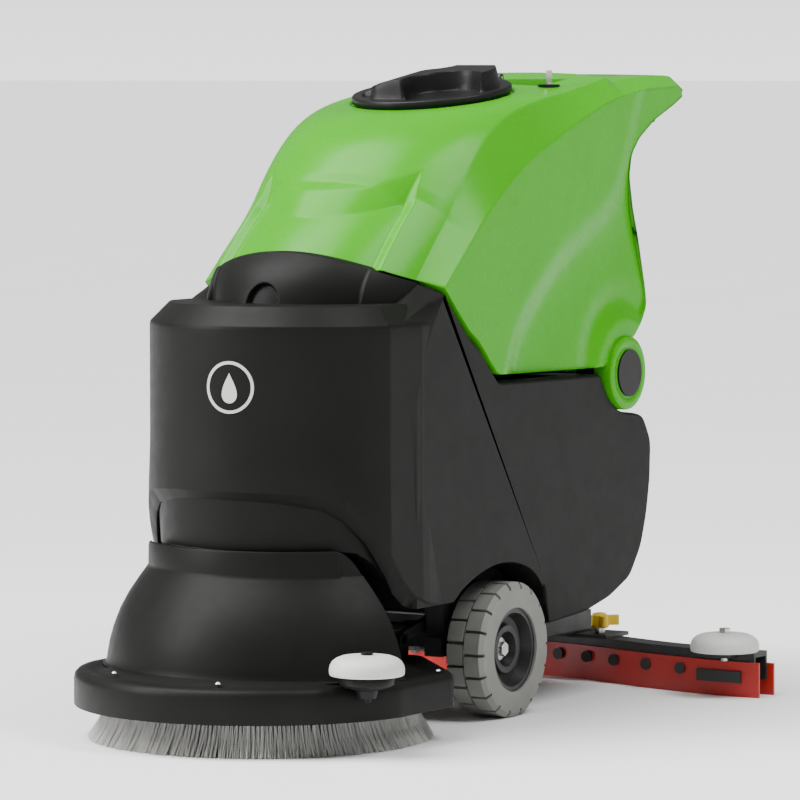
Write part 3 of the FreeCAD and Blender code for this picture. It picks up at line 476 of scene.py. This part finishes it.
def recovery_tank():
    count = 420
    crown = crown_columns(count)
    outer, _ = spline(TOP_OUTER, count)
    base = resample(rounded(TANK_BASE, 9, closed=False), count)
    edge = crown[0][:, 1:]
    columns = [np.stack([np.full(count, x), base[:, 0], base[:, 1]], 1) for x in (207.5, 210.5)]
    for w in np.r_[0.006, 0.015, np.linspace(0.03, 0.97, 62), 0.985, 0.995, 1.0]:
        y = base[:, 0] * (1 - w) + outer[:, 0] * w
        z = base[:, 1] * (1 - w) + outer[:, 1] * w
        columns.append(np.stack([HALF_WIDTH - side_depth(y, z), y, z], 1))
    for w in (0.04, 0.1, 0.5, 0.9, 0.96):
        y = outer[:, 0] * (1 - w) + edge[:, 0] * w
        z = outer[:, 1] * (1 - w) + edge[:, 1] * w
        columns.append(np.stack([np.full(count, HALF_WIDTH + (TOP_HALF_WIDTH - HALF_WIDTH) * w), y, z], 1))
    columns += list(crown)
    under = [np.stack([np.full(count, 178.0), base[:, 0], base[:, 1]], 1)]
    for column in crown[::8]:
        x, y, z = column[0]
        x = min(x, 174.5)
        line = resample([(y, z), (-98, z), (-98, 594)] + TANK_BASE[2:-1] + [tuple(base[-1])], count)
        line[-1] = base[-1] + (column[-1, 1] - edge[-1, 0]) * np.array([1, 0])
        under.append(np.stack([np.full(count, x), line[:, 0], line[:, 1]], 1))
    right = under[::-1] + columns
    left = [c * [-1, 1, 1] for c in right[1:-1]][::-1]
    ring = np.stack(right + left, axis=1)
    tank = loops_mesh("green_tank", list(ring), GREEN, "recovery_tank", sharp=62.0, slot="green_plastic",
                      replaces=("recovery_tank",))
    angles = np.linspace(0, 2 * math.pi, 96, endpoint=False)
    levels = []
    for h in (-190.0, 30.0):
        y, z = 98 * np.sin(angles), np.full(96, h)
        levels.append(np.stack([98 * np.cos(angles), LID_Y + y * math.cos(LID_TILT) - z * math.sin(LID_TILT),
                                LID_Z + y * math.sin(LID_TILT) + z * math.cos(LID_TILT)], 1))
    faces = grid_faces(2, 96, wrap=True) + [tuple(range(96)), tuple(range(96, 192))]
    cut(tank, tool_mesh(np.concatenate(levels), faces))
    cut(tank, box_tool(-125, 125, 503, 561, 840, 1000))
    cut(tank, prism_x([(291, 929), (376, 945), (376, 1010), (291, 1010)], -111, 111))
    soften(tank.data, 62.0)
    return tank


def pivot_bosses():
    for side, sign in (("right", 1), ("left", -1)):
        profile = [(0, 186), (54, 186), (58, 190), (58, 214.5), (57, 217.5), (54.5, 219), (42, 219),
                   (41, 218.2), (39.5, 218.2), (38.8, 219), (0, 219)]
        profile = [(r, h * sign) for r, h in profile]
        lathe("pivot_boss_" + side, profile, (0, PIVOT[0], PIVOT[1]), GREEN, "recovery_tank", axis="X",
              slot="green_plastic")


# ---- lid ----
def lid_height(x, y):
    """Height of the lid's moulding: a wedge-shaped grip across it with a deep finger scoop in front."""
    r = np.hypot(x, y)
    top = 15 + 27 * ease(-112, -12, x)
    body = top - (top - 14) * ease(101, 107, r)
    body = 14 + (body - 14) * ease(-97, -90, y) * (1 - ease(62, 84, y))
    notch = ease(0, 7, 30 - np.hypot((x + 84) / 1.0, (y + 72) / 1.5))
    body = body - (body - 9) * notch * (1 - ease(104, 110, r))
    inside = 1 - np.hypot((x - 56) / 62, (y + 60) / 66)
    floor = 10 + 3 * ramp(-120, 0, y)
    scoop = ease(0, 0.11, inside) * (1 - ease(108, 113, r))
    rear = ease(0, 0.12, 1 - np.hypot((x + 50) / 60, (y - 62) / 52)) * (1 - ease(104, 110, r))
    height = body - (body - floor) * scoop
    return height - (height - 12) * rear


def tank_lid():
    rings = np.r_[np.linspace(0, 120, 110), 122.5, 123.7, 124, 124, 122.5, 110, 60, 0]
    skirt_heights = (13.2, 12.0, 10.0, 3.5, 2.0, 2.0, 2.0, 2.0)
    angles = np.linspace(0, 2 * math.pi, 240, endpoint=False)
    loops = []
    for i, r in enumerate(rings):
        x = r * np.cos(angles)
        y = r * np.sin(angles)
        z = lid_height(x, y) if i < 110 else np.full_like(x, skirt_heights[i - 110])
        loops.append(np.stack([x, y * math.cos(LID_TILT) - z * math.sin(LID_TILT) + LID_Y,
                               y * math.sin(LID_TILT) + z * math.cos(LID_TILT) + LID_Z], 1))
    return loops_mesh("lid_moulding", loops, BLACK, "lid", sharp=50.0, slot="black_plastic",
                      replaces=("tank_lid",))


# ---- lower body ----
FRONT_KEYS = {
    212.0: [(-246, 190), (-246, 442), (-246, 491), (-228, 555), (-198, 606), (-178, 634), (-167, 647)],
    206.0: [(-250, 190), (-284, 442), (-313, 494), (-309, 555), (-292, 604), (-222, 630), (-170, 650)],
    177.0: [(-255, 190), (-290, 442), (-318, 494), (-312, 555), (-296, 600), (-236, 634), (-186, 664)],
    0.0: [(-255, 190), (-290, 442), (-300, 494), (-300, 555), (-280, 600), (-236, 610), (-186, 612)],
}
BODY_TOP = [(-98, 582), (-65, 561), (-35, 532), (-9, 509), (302, 505)]
BODY_REAR = [(330, 466), (367, 444), (425, 438), (444, 432), (469, 392), (466, 330), (455, 275), (437, 226),
             (401, 181), (336, 155), (260, 139), (150, 131), (141, 131), (130, 190)]


def body_loop(x):
    keys = sorted(FRONT_KEYS)
    i = max(j for j, k in enumerate(keys) if k <= abs(x) + 1e-6)
    j = min(i + 1, len(keys) - 1)
    t = 0.0 if i == j else (abs(x) - keys[i]) / (keys[j] - keys[i])
    front = np.array(FRONT_KEYS[keys[i]], float) * (1 - t) + np.array(FRONT_KEYS[keys[j]], float) * t
    outline = np.concatenate([resample(front, 40), resample([front[-1]] + BODY_TOP, 50),
                              resample(rounded(BODY_REAR, 14, closed=False), 90)])
    return np.stack([np.full(len(outline), float(x)), outline[:, 0], outline[:, 1]], 1)


def lower_body():
    half = [0, 60, 120, 160, 177, 190, 206]
    rights = [body_loop(x) for x in half]
    for x, shrink in ((209.5, 0.6), (211.3, 1.8), (212.0, 4.0), (212.0, 9.0)):
        loop = body_loop(x)
        tangent = np.roll(loop, -1, axis=0) - np.roll(loop, 1, axis=0)
        normal = np.stack([tangent[:, 2], -tangent[:, 1]], 1)
        normal /= np.maximum(np.linalg.norm(normal, axis=1), 1e-6)[:, None]
        loop[:, 1:] += np.where(np.arange(len(loop)) < 40, 0.0, shrink)[:, None] * normal
        rights.append(loop)
    lefts = [loop * [-1, 1, 1] for loop in rights[1:]][::-1]
    body = loops_mesh("lower_shell", lefts + rights, DARK, "machine", sharp=38.0, slot="dark_plastic",
                      replaces=("solution_tank", "front_shroud"))
    arch, _ = spline([(-150, 184), (-120, 204), (-84, 220), (-30, 234), (25, 236), (70, 227), (100, 213),
                      (127, 184), (146, 125)], 40)
    outline = list(map(tuple, arch)) + [(146, 60), (-160, 60)]
    for x0, x1 in ((146, 240), (-240, -146)):
        cut(body, prism_x(outline, x0, x1))
    cut(body, box_tool(-176, 176, -95, 238, 245, 650))
    cut(body, box_tool(-120, 120, 246, 372, 250, 560))
    soften(body.data, 38.0)
    for face in body.data.polygons:
        if abs(face.normal.x) > 0.9995:
            face.use_smooth = False
    return body


def neck_set_back(x, z):
    """Depth of the neck's panel between its shoulders, with a small round-topped recess at its foot."""
    panel = (6.0 + 7.0 * ramp(690, 636, z)) * ramp(0, 7, 134 + 2 * ramp(636, 690, z) - np.abs(x))
    thumb = 9.0 * ramp(0, 0.14, 1 - np.hypot(x / 28.0, (z - 634.0) / 32.0))
    return panel + thumb


def neck():
    """Round neck that rises behind the drum up to the tank's arched edge."""
    edge, _ = spline(NECK_EDGE, 400)
    middle, _ = spline(NECK_MIDDLE, 400)
    places = np.linspace(-176.5, 176.5, 180)
    grid = []
    for x in places:
        line = edge + bulge(x) * (middle - edge)
        z = np.linspace(602, parting(x) - 3.0, 60)
        y = np.interp(z, line[:, 1], line[:, 0]) + neck_set_back(x, z)
        front = np.stack([np.full(60, x), y, z], 1)
        over = [(x, yy, z[-1]) for yy in np.linspace(y[-1], -106, 12)[1:]]
        back = [(x, -106, zz) for zz in np.linspace(z[-1], 602, 4)[1:]]
        grid.append(np.concatenate([front, over, back]))
    return loops_mesh("neck", grid, DARK, "machine", sharp=45.0, slot="dark_plastic")


def hinge_ears():
    outline = rounded([(330, 430), (425, 430), (405, 515), (393, 526), (369, 526), (357, 515)], 6)
    for side, x in (("right", 154), ("left", -154)):
        loops = [np.stack([np.full(len(outline), x + d), outline[:, 0], outline[:, 1]], 1) for d in (-14, 14)]
        loops_mesh("hinge_ear_" + side, loops, DARK, "machine", slot="dark_plastic")


def drum_outline(count):
    """Plan of the front drum: round front, a corner on each side, then nearly straight back into the body."""
    corner = math.radians(-20)
    arc = [(DRUM_RADIUS * math.cos(a), DRUM_Y + DRUM_RADIUS * math.sin(a))
           for a in np.linspace(-math.pi / 2, corner, 70)]
    tail = [(212.2, -232), (211.6, -212), (210.0, -190), (208.5, -150)]
    return resample(arc + tail, count)


def front_drum():
    """Drum with a chamfered top and a bevelled lower edge that sweeps down the sides."""
    count = 260
    plan = drum_outline(count)
    centre = np.array([0, DRUM_Y])
    out = plan - centre
    out[:, 1] = np.where(plan[:, 1] > -232, 0.0, out[:, 1])
    out /= np.linalg.norm(out, axis=1)[:, None]
    y = plan[:, 1]
    upper = np.interp(y, [-460, -440, -400, -370, -345, -315, -285, -255, -220, -180],
                      [369, 368, 362, 348, 322, 280, 238, 212, 198, 190])
    lower = np.interp(y, [-460, -440, -400, -376, -345, -320, -297, -270, -235, -200, -180],
                      [352, 351, 342, 325, 290, 250, 216, 196, 189, 188, 188])
    lower = np.minimum(lower, upper - 2.0)
    flare = 2.5

    def level(offset, z):
        p = plan - out * offset[:, None]
        return np.stack([p[:, 0], p[:, 1], z], 1)

    ones = np.ones(count)
    rows = []
    top = DRUM_TOP
    rows.append(np.stack([plan[:, 0] * 0.0, np.full(count, -200.0), ones * (top - 2)], 1))
    rows.append(level(ones * 60, ones * top))
    rows.append(level(ones * 29.5, ones * top))
    rows.append(level(28 * ones, ones * (top - 1.2)))
    for t in (0.05, 0.5, 0.95):
        rows.append(level((28 * (1 - t)) * ones, (top - 1.2 - 28 * t) * ones))
    rows.append(level(0.3 * ones, (top - 31) * ones))
    for t in np.linspace(0.0, 1.0, 24):
        z = (top - 33) * (1 - t) + upper * t
        rows.append(level(-flare * ones * ease(0.6, 1.0, t), z))
    for t in (0.06, 0.5, 0.94):
        rows.append(level(-flare + (flare + 9.0) * t * ones, upper * (1 - t) + lower * t))
    rows.append(level(9.6 * ones, lower))
    rows.append(level(13.0 * ones, lower + 1.5))
    rows.append(level(16.0 * ones, lower + 4.0))
    full = mirrored(rows)
    return add_mesh("front_drum", full.reshape(-1, 3), grid_faces(*full.shape[:2]), DARK, "machine",
                    sharp=24.0, slot="dark_plastic")


def inner_wall():
    """The wall set back under the drum's edge, which ends in a round corner on each side."""
    angles = np.linspace(math.radians(-90), math.radians(-4), 120)
    radius_top, radius_bottom = 203.0, 197.0
    centre_y = DRUM_Y - 12
    low = np.interp(np.degrees(angles), [-90, -42, -30, -22, -14, -4], [283, 283, 278, 262, 232, 200])
    rows = []
    for t in np.linspace(0, 1, 8):
        r = radius_top * (1 - t) + radius_bottom * t
        z = 372 * (1 - t) + low * t
        rows.append(np.stack([r * np.cos(angles), centre_y + r * np.sin(angles), z], 1))
    for inset, drop in ((4, 1.5), (30, 0.0)):
        r = radius_bottom - inset
        rows.append(np.stack([r * np.cos(angles), centre_y + r * np.sin(angles), low - drop], 1))
    full = mirrored(rows)
    return add_mesh("inner_wall", full.reshape(-1, 3), grid_faces(*full.shape[:2]), DARK, "machine",
                    sharp=40.0, slot="dark_plastic")


# ---- brush deck ----
def deck_plan(inset, count=240):
    r, w = 274.0 - inset, 270.0 - inset
    start = math.acos(w / r)
    arc = [(r * math.cos(a), BRUSH_Y + r * math.sin(a)) for a in np.linspace(-math.pi / 2, -start, 90)]
    right = arc + [(w, -234 - 0.4 * inset), (125 - 0.4 * inset, -80 - inset)]
    right = list(map(tuple, rounded(right, 10, closed=False, steps=6)))
    loop = [(-x, y) for x, y in right[::-1]] + right[1:]
    loop.append((-right[-1][0], right[-1][1]))
    return resample(loop, count)[:-1]


def deck_skirt():
    """Skirt wall with a rolled top edge, a shallow gutter and the plate under the hood."""
    loops = []
    for inset, z in ((5, 96), (5, 51), (4, 50), (0.8, 50), (0, 51), (0, 88), (1.5, 95), (6, 99.5), (13, 101),
                     (20, 101.2), (26, 99.5), (32, 97.5), (40, 97.5), (48, 100), (56, 104), (70, 104.5),
                     (150, 104.5)):
        plan = deck_plan(inset)
        loops.append(np.stack([plan[:, 0], plan[:, 1], np.full(len(plan), float(z))], 1))
    return loops_mesh("deck_skirt", loops, DARK, "deck", cap_ends=False, sharp=50.0, slot="dark_plastic",
                      replaces=("deck_housing",))


def deck_brackets():
    """Lugs for the lift arms and the seat under the deck roller."""
    for side, sign in (("right", 1), ("left", -1)):
        for i, (x0, x1) in enumerate(((84, 91.5), (102.5, 110))):
            outline = rounded([(-128, 102), (-102, 102), (-104, 134), (-126, 134)], 5)
            loops = [np.stack([np.full(len(outline), sign * x), outline[:, 0], outline[:, 1]], 1)
                     for x in (x0, x1)]
            loops_mesh("deck_lug_%s_%d" % (side, i), loops, DARK, "deck", slot="dark_plastic")
    profile = [(0, 86), (13, 86), (16, 97), (32, 102), (39, 106), (40, 114), (38, 118), (0, 118)]
    lathe("roller_seat", profile, (262, -465, 0), BLACK, "deck", slot="dark_plastic")


def deck_hood():
    """Hood that covers the deck's front half: flared base, round shoulder and an upright collar."""
    centre_y = -250.0
    y_end = -355.0
    collar_foot = 247.0
    profile = [(283, 101), (279, 103.5), (277.2, 108), (276.4, 114), (273, 134), (267, 156), (257, 182),
               (244, 206), (229, 228), (218, 243), (215.6, collar_foot), (215.3, 250), (215.0, 281.5),
               (214, 283.6), (212, 284.2), (210.5, 283), (210, 250), (226, 222), (250, 180), (262, 140),
               (268, 104)]
    rows = []
    steps = np.linspace(0, 1, 150)
    for r, z in profile:
        end = math.asin((centre_y - y_end) / r)
        spread = math.radians(-90) + (math.radians(90) - end) * steps
        x = r * np.cos(spread)
        y = centre_y + r * np.sin(spread)
        height = np.full(len(steps), float(z))
        if z > collar_foot:
            drop = 38.0 * ramp(0.80, 1.0, steps) ** 2
            height = np.maximum(height - drop, collar_foot + 0.02 * (z - collar_foot))
        x = np.where(z < 135, np.minimum(x, 266.0), x)
        rows.append(np.stack([x, y, height], 1))
    full = mirrored(rows)
    faces = grid_faces(*full.shape[:2])
    columns = full.shape[1]
    last = full.shape[0] - 1
    faces += [(c, c + 1, last * columns + c + 1, last * columns + c) for c in range(columns - 1)]
    ends = [tuple(r * columns + c for r in range(last + 1)) for c in (0, columns - 1)]
    return add_mesh("hood_shell", full.reshape(-1, 3), faces + ends, DARK, "deck", sharp=26.0,
                    slot="dark_plastic", replaces=("deck_hood",))


def rollers():
    """Domed bumper rollers; the deck's has a slot in its crown."""
    profile = [(0, 2.2), (48, 2.2), (52, 0), (53.2, 0.8), (54, 3.2), (54, 9), (53, 14), (50, 19.5),
               (44.5, 24), (37, 27), (28, 28.4), (14, 28.9), (0, 29)]
    for node, x, y, z in (("deck_roller", 262, -465, 119), ("squeegee_roller_right", 370, 420, 71),
                          ("squeegee_roller_left", -370, 420, 71)):
        roller = lathe(node + "_cap", profile, (x, y, z), ROLLER, node, slot="roller_plastic",
                       replaces=(node,))
        if node == "deck_roller":
            cut(roller, box_tool(x - 7, x + 9, y - 2.5, y + 2.5, z + 25, z + 40))
            soften(roller.data, 40)


def bristles():
    """Four rings of splayed nylon tufts under the brush block."""
    rng = np.random.default_rng(7)
    verts, faces = [], []
    rings = ((222, 250, 230), (206, 232, 200), (190, 214, 180), (150, 160, 90))
    width = 1.1
    for ring, (top_r, tip_r, tufts) in enumerate(rings):
        for k in range(tufts):
            angle = 2 * math.pi * (k + 0.5 * (ring % 2)) / tufts
            for _ in range(9 if ring < 2 else 5):
                a = angle + rng.normal(0, 0.0045)
                b = angle + rng.normal(0, 0.0115)
                r0 = top_r + rng.normal(0, 1.6)
                r1 = tip_r + rng.normal(0, 2.6)
                z1 = abs(rng.normal(0, 1.2))
                r_mid = r0 * 0.42 + r1 * 0.58 - 3
                start = len(verts)
                for r, z, ang in ((r0, 54.0, a), (r_mid, 24.0, (a + b) / 2), (min(r1, 254.0), z1, b)):
                    for turn in (0, 2.09, 4.19):
                        rr = r + width * math.cos(turn)
                        tt = width * math.sin(turn) / r
                        verts.append((rr * math.cos(ang + tt), BRUSH_Y + rr * math.sin(ang + tt), z))
                for level in (start, start + 3):
                    for c in range(3):
                        d = (c + 1) % 3
                        faces.append((level + c, level + d, level + 3 + d, level + 3 + c))
                faces.append((start + 6, start + 7, start + 8))
    mesh = bpy.data.meshes.new("bristle_tufts")
    mesh.from_pydata((np.array(verts) * MM).tolist(), [], faces)
    obj = bpy.data.objects.new("bristle_tufts", mesh)
    bpy.context.scene.collection.objects.link(obj)
    mesh.materials.append(BRISTLE)
    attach(obj, "brush")
    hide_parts("bristles")


# ---- badge ----
def badge():
    """A plain water-drop in a ring on the drum, as a printed mark."""
    centre_x, centre_z = 22.0, 520.0

    def on_drum(u, v, lift):
        angle = math.asin((centre_x + u) / DRUM_RADIUS)
        r = DRUM_RADIUS + lift
        return (r * math.sin(angle), DRUM_Y - r * math.cos(angle), centre_z + v)

    steps = 64
    turn = np.linspace(0, 2 * math.pi, steps, endpoint=False)
    ring = []
    for r, lift in ((38.0, -0.6), (38.0, 0.5), (33.5, 0.5), (33.5, -0.6)):
        ring.append([on_drum(r * math.cos(a), r * math.sin(a), lift) for a in turn])
    loops_mesh("badge_ring", ring, BADGE, "machine", cap_ends=False, slot="roller_plastic")
    drop = [(17 * math.sin(a) * math.sin(a / 2) ** 1.4, 22 * math.cos(a) - 1) for a in turn]
    loops = [[on_drum(u, v, lift) for u, v in drop] for lift in (-0.6, 0.5)]
    loops_mesh("badge_drop", loops, BADGE, "machine", slot="roller_plastic")


recovery_tank()
pivot_bosses()
tank_lid()
lower_body()
neck()
hinge_ears()
front_drum()
inner_wall()
deck_skirt()
deck_brackets()
deck_hood()
rollers()
bristles()
badge()


# ---- floor, light and camera ----
def floor():
    material, nodes, links, shader = new_material("studio_floor")
    coords = nodes.new("ShaderNodeTexCoord")
    noise = nodes.new("ShaderNodeTexNoise")
    noise.inputs["Scale"].default_value = 1.5
    tint = nodes.new("ShaderNodeMapRange")
    tint.inputs["To Min"].default_value = 0.88
    tint.inputs["To Max"].default_value = 0.92
    links.new(coords.outputs["Object"], noise.inputs["Vector"])
    links.new(noise.outputs["Fac"], tint.inputs["Value"])
    combine = nodes.new("ShaderNodeCombineColor")
    for channel in ("Red", "Green", "Blue"):
        links.new(tint.outputs["Result"], combine.inputs[channel])
    links.new(combine.outputs["Color"], shader.inputs["Base Color"])
    shader.inputs["Roughness"].default_value = 0.6
    mesh = bpy.data.meshes.new("floor")
    size = 600.0
    corners = [(-size, -size, 0), (size, -size, 0), (size, size, 0), (-size, size, 0)]
    mesh.from_pydata(corners, [], [(0, 1, 2, 3)])
    obj = bpy.data.objects.new("floor", mesh)
    bpy.context.scene.collection.objects.link(obj)
    mesh.materials.append(material)


def area_light(name, place, target, size, power, color=(1, 1, 1)):
    data = bpy.data.lights.new(name, "AREA")
    data.shape = "RECTANGLE"
    data.size, data.size_y = size
    data.energy = power
    data.color = color
    obj = bpy.data.objects.new(name, data)
    obj.location = place
    obj.rotation_euler = (Vector(target) - Vector(place)).to_track_quat("-Z", "Y").to_euler()
    bpy.context.scene.collection.objects.link(obj)


def studio_world():
    """Dim surroundings with a bright band at the horizon, as bright as the floor."""
    world = bpy.data.worlds.new("studio")
    world.use_nodes = True
    tree = world.node_tree
    coords = tree.nodes.new("ShaderNodeTexCoord")
    parts = tree.nodes.new("ShaderNodeSeparateXYZ")
    level = tree.nodes.new("ShaderNodeMath")
    level.operation = "ABSOLUTE"
    glow = tree.nodes.new("ShaderNodeMapRange")
    glow.interpolation_type = "SMOOTHSTEP"
    glow.inputs["From Max"].default_value = 0.06
    glow.inputs["To Min"].default_value = 2.05
    glow.inputs["To Max"].default_value = 0.28
    tree.links.new(coords.outputs["Generated"], parts.inputs["Vector"])
    tree.links.new(parts.outputs["Z"], level.inputs[0])
    tree.links.new(level.outputs["Value"], glow.inputs["Value"])
    tree.links.new(glow.outputs["Result"], tree.nodes["Background"].inputs["Strength"])
    tree.nodes["Background"].inputs["Color"].default_value = (1.0, 1.0, 1.0, 1)
    bpy.context.scene.world = world


def studio_lights():
    """A soft overhead sun, a key from the front left and a long box for the tank's chamfer."""
    sun = bpy.data.lights.new("overhead", "SUN")
    sun.energy = 6.5
    sun.angle = math.radians(50)
    overhead = bpy.data.objects.new("overhead", sun)
    overhead.rotation_euler = Vector((0.45, 0.35, -1.0)).to_track_quat("-Z", "Y").to_euler()
    bpy.context.scene.collection.objects.link(overhead)
    area_light("key_left", (-3.2, -3.4, 2.2), (0, -0.1, 0.5), (1.6, 2.0), 190)
    area_light("edge_box", (2.4, 0.1, 4.2), (0, 0.1, 0.8), (1.6, 2.6), 170)


def photo_camera():
    """Long lens at the photograph's height and angle, aimed at the middle of the machine."""
    distance = 7.5
    height = 0.971
    azimuth = math.radians(31.5)
    aim = Vector((0, 0.0525, 0.4723))
    camera_data = bpy.data.cameras.new("camera")
    camera_data.sensor_width = 36.0
    camera_data.lens = 220.59
    camera_data.clip_end = 2000.0
    camera = bpy.data.objects.new("camera", camera_data)
    camera.location = (math.sin(azimuth) * distance, aim.y - math.cos(azimuth) * distance, height)
    camera.rotation_euler = (aim - camera.location).to_track_quat("-Z", "Y").to_euler()
    bpy.context.scene.collection.objects.link(camera)
    bpy.context.scene.camera = camera


floor()
studio_world()
studio_lights()
photo_camera()
